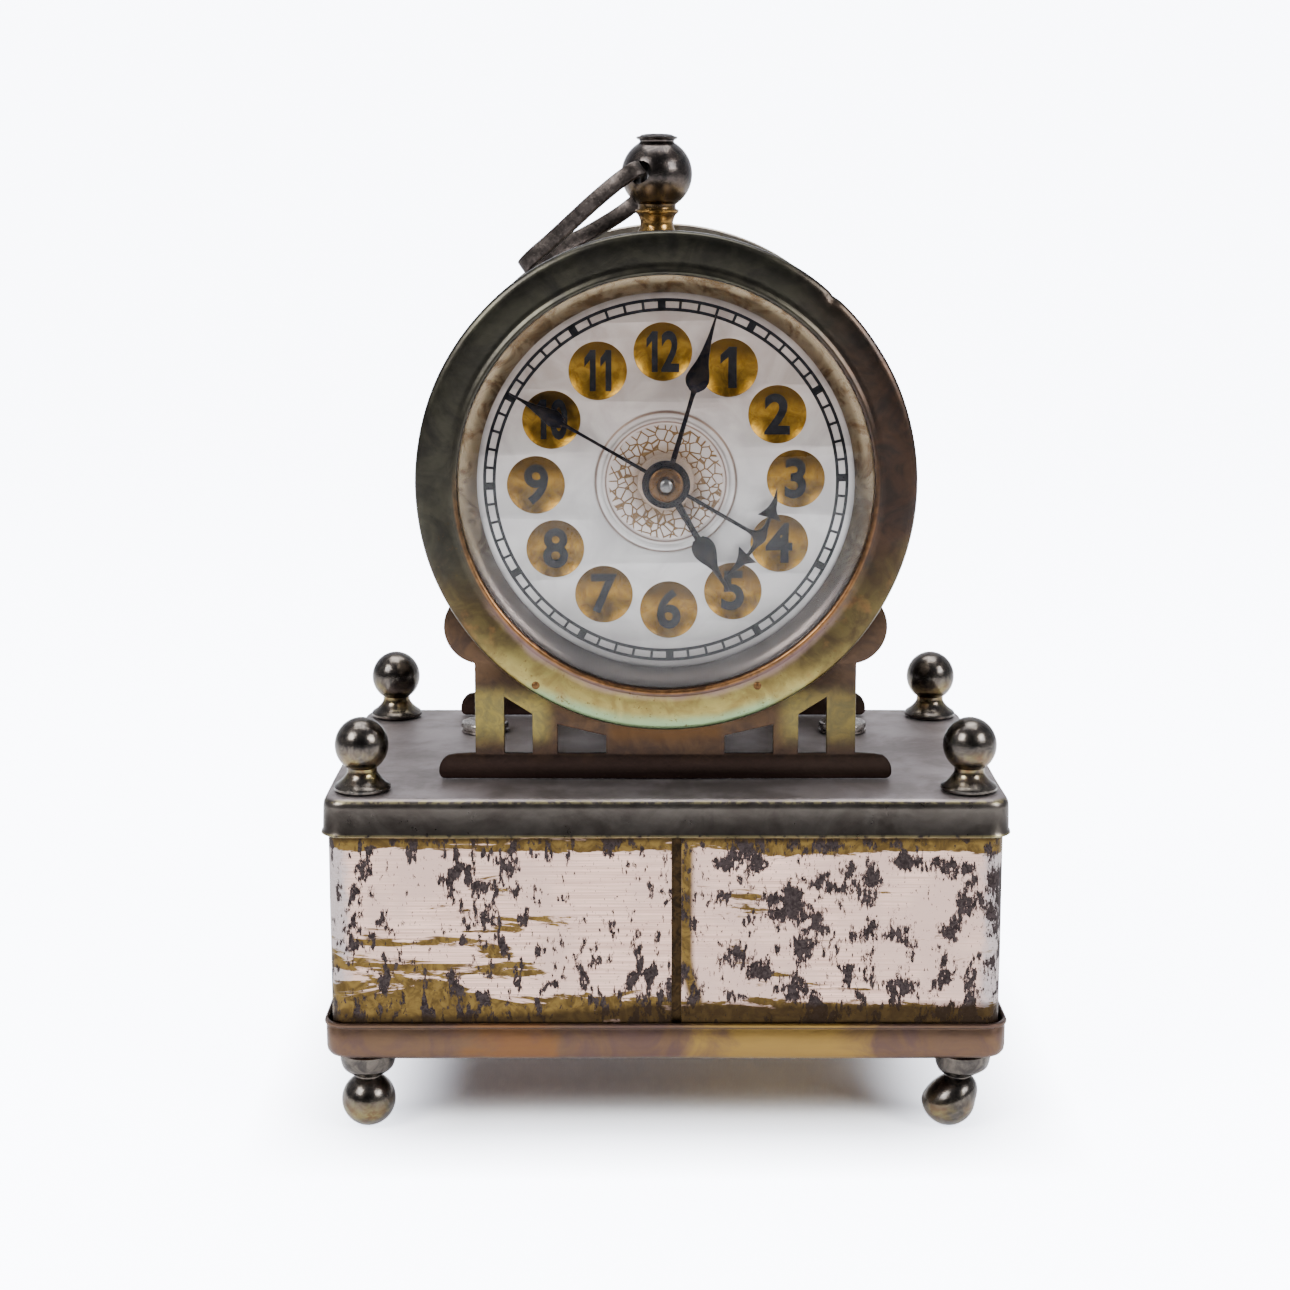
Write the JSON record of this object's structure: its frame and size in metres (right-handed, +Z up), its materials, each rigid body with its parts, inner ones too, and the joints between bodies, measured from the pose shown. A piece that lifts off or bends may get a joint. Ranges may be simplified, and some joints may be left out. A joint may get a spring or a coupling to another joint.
{
  "type": "table alarm clock",
  "caption": "Mechanical alarm clock in a round drum on brackets, over a sheet-metal box with ball finials and ball feet; it shows the time and rings at a set hour.",
  "frame": {"origin": "middle of the base, on the surface that the feet stand on", "axes": "+Z up, -Y towards the front of the dial, +X to the right seen from the front"},
  "size_m": [0.1532, 0.1006, 0.2228],
  "materials": {
    "ball_metal": "dark polished gunmetal patina over brass",
    "steel": "plain steel",
    "tray_metal": "copper brown patina",
    "silver_plate": "silver plate, brushed along its length and worn through in dark flecks",
    "brass": "plain brass",
    "lid_metal": "dark grey brown patina, half gloss",
    "bracket_brass": "brown patina with yellow green legs and a nearly black bar",
    "case_brass": "dark patina",
    "bezel_brass": "dark olive above, yellow green brass below, tinted",
    "glass": "clear domed glass",
    "dial_silver": "matt silvered, with gilt cups and black figures",
    "ring_steel": "dark grey brown steel",
    "blued_steel": "blued, nearly black",
    "collet_brass": "brown brass",
    "bell_metal": "bell metal"
  },
  "bodies": {
    "frame": {"foot_front_left": "ball_metal", "finial_front_left": "ball_metal", "tie_rod_front_left": "steel", "foot_front_right": "ball_metal", "finial_front_right": "ball_metal", "tie_rod_front_right": "steel", "foot_rear_left": "ball_metal", "finial_rear_left": "ball_metal", "tie_rod_rear_left": "steel", "foot_rear_right": "ball_metal", "finial_rear_right": "ball_metal", "tie_rod_rear_right": "steel", "base_tray": "tray_metal", "body_band": "silver_plate", "seam_strap": "brass", "lid": "lid_metal", "lid_cap_left": "steel", "lid_cap_right": "steel", "bracket_front": "bracket_brass", "bracket_rear": "bracket_brass", "drum_case": "case_brass", "bezel": "bezel_brass", "glass": "glass", "dial": "dial_silver", "crown": "ball_metal", "back_cover": "case_brass", "front_plate": "brass", "back_plate": "brass", "hairspring": "steel", "bell": "bell_metal", "pillar_1": "brass", "pillar_2": "brass", "pillar_3": "brass", "pillar_4": "brass"},
    "minute_work": {"centre_arbor": "steel", "cannon_pinion": "steel", "minute_hand": "blued_steel", "hand_collet": "collet_brass", "hand_set_knob": "brass"},
    "hour_work": {"hour_wheel": "brass", "hour_hand": "blued_steel"},
    "minute_wheel_body": {"minute_wheel": "brass"},
    "time_barrel_body": {"time_barrel": "brass"},
    "centre_wheel_body": {"centre_wheel": "brass"},
    "third_wheel_body": {"third_wheel": "brass"},
    "fourth_wheel_body": {"fourth_wheel": "brass"},
    "escape_wheel_body": {"escape_wheel": "brass"},
    "pallet_body": {"pallet_lever": "steel"},
    "balance_body": {"balance_wheel": "brass"},
    "alarm_work": {"alarm_pipe_wheel": "brass", "alarm_hand": "blued_steel"},
    "alarm_set_body": {"alarm_set_knob": "brass"},
    "alarm_barrel_body": {"alarm_barrel": "brass"},
    "alarm_escape_body": {"alarm_escape_wheel": "brass"},
    "hammer_body": {"alarm_hammer": "steel"},
    "time_key_body": {"time_winding_key": "brass"},
    "alarm_key_body": {"alarm_winding_key": "brass"},
    "regulator_body": {"regulator_lever": "steel"},
    "alarm_stop_body": {"alarm_stop_lever": "steel"},
    "bail_body": {"bail_ring": "ring_steel"}
  },
  "joints": [
    {"name": "hand_setting", "type": "hinge", "parent": "frame", "child": "minute_work", "pos_m": [0, -0.00545, 0.1466], "axis": [0, 1, 0], "continuous": true},
    {"name": "hour_turn", "type": "hinge", "parent": "frame", "child": "hour_work", "pos_m": [0, -0.00545, 0.1466], "axis": [0, 1, 0], "continuous": true},
    {"name": "minute_wheel_turn", "type": "hinge", "parent": "frame", "child": "minute_wheel_body", "pos_m": [0, -0.00545, 0.1566], "axis": [0, 1, 0], "continuous": true},
    {"name": "going_train", "type": "hinge", "parent": "frame", "child": "fourth_wheel_body", "pos_m": [0.01293, -0.00545, 0.16261], "axis": [0, 1, 0], "continuous": true},
    {"name": "barrel_turn", "type": "hinge", "parent": "frame", "child": "time_barrel_body", "pos_m": [0.012, -0.00545, 0.1346], "axis": [0, 1, 0], "continuous": true},
    {"name": "centre_wheel_turn", "type": "hinge", "parent": "frame", "child": "centre_wheel_body", "pos_m": [0, -0.00545, 0.1466], "axis": [0, 1, 0], "continuous": true},
    {"name": "third_wheel_turn", "type": "hinge", "parent": "frame", "child": "third_wheel_body", "pos_m": [0.00335, -0.00545, 0.15912], "axis": [0, 1, 0], "continuous": true},
    {"name": "escape_wheel_turn", "type": "hinge", "parent": "frame", "child": "escape_wheel_body", "pos_m": [0.01814, -0.00545, 0.16881], "axis": [0, 1, 0], "continuous": true},
    {"name": "pallet_rock", "type": "hinge", "parent": "frame", "child": "pallet_body", "pos_m": [0.0124, -0.00545, 0.1736], "axis": [0, 1, 0], "range_deg": [-3, 3]},
    {"name": "balance_swing", "type": "hinge", "parent": "frame", "child": "balance_body", "pos_m": [0.0016, -0.00545, 0.1778], "axis": [0, 1, 0], "range_deg": [-160, 160]},
    {"name": "alarm_setting", "type": "hinge", "parent": "frame", "child": "alarm_work", "pos_m": [0, -0.00545, 0.1466], "axis": [0, 1, 0], "continuous": true},
    {"name": "alarm_set_knob_turn", "type": "hinge", "parent": "frame", "child": "alarm_set_body", "pos_m": [-0.0142, -0.00545, 0.149], "axis": [0, 1, 0], "continuous": true},
    {"name": "alarm_barrel_turn", "type": "hinge", "parent": "frame", "child": "alarm_barrel_body", "pos_m": [-0.022, -0.00545, 0.1326], "axis": [0, 1, 0], "continuous": true},
    {"name": "alarm_escape_turn", "type": "hinge", "parent": "frame", "child": "alarm_escape_body", "pos_m": [-0.02679, -0.00545, 0.14576], "axis": [0, 1, 0], "continuous": true},
    {"name": "hammer_swing", "type": "hinge", "parent": "frame", "child": "hammer_body", "pos_m": [-0.0246, -0.00545, 0.1542], "axis": [0, 1, 0], "range_deg": [-14, 8]},
    {"name": "time_winding", "type": "hinge", "parent": "frame", "child": "time_key_body", "pos_m": [0.012, -0.00545, 0.1346], "axis": [0, 1, 0], "continuous": true},
    {"name": "alarm_winding", "type": "hinge", "parent": "frame", "child": "alarm_key_body", "pos_m": [-0.022, -0.00545, 0.1326], "axis": [0, 1, 0], "continuous": true},
    {"name": "regulator_turn", "type": "hinge", "parent": "frame", "child": "regulator_body", "pos_m": [0.0016, -0.00545, 0.1778], "axis": [0, 1, 0], "range_deg": [-12, 12]},
    {"name": "alarm_stop", "type": "hinge", "parent": "frame", "child": "alarm_stop_body", "pos_m": [-0.038, -0.00545, 0.1566], "axis": [0, 1, 0], "range_deg": [-40, 0]},
    {"name": "bail_swing", "type": "hinge", "parent": "frame", "child": "bail_body", "pos_m": [-0.0057, -0.00545, 0.2115], "axis": [0, 0.9336, -0.3584], "range_deg": [0, 228]}
  ],
  "couplings": [
    {"joint": "hour_turn", "follows": "hand_setting", "ratio": 0.083333},
    {"joint": "minute_wheel_turn", "follows": "hand_setting", "ratio": -0.33333},
    {"joint": "third_wheel_turn", "follows": "going_train", "ratio": -0.13333},
    {"joint": "centre_wheel_turn", "follows": "going_train", "ratio": 0.016667},
    {"joint": "barrel_turn", "follows": "going_train", "ratio": -0.0022222},
    {"joint": "escape_wheel_turn", "follows": "going_train", "ratio": -8},
    {"joint": "alarm_set_knob_turn", "follows": "alarm_setting", "ratio": -3},
    {"joint": "alarm_escape_turn", "follows": "alarm_barrel_turn", "ratio": -6}
  ]
}
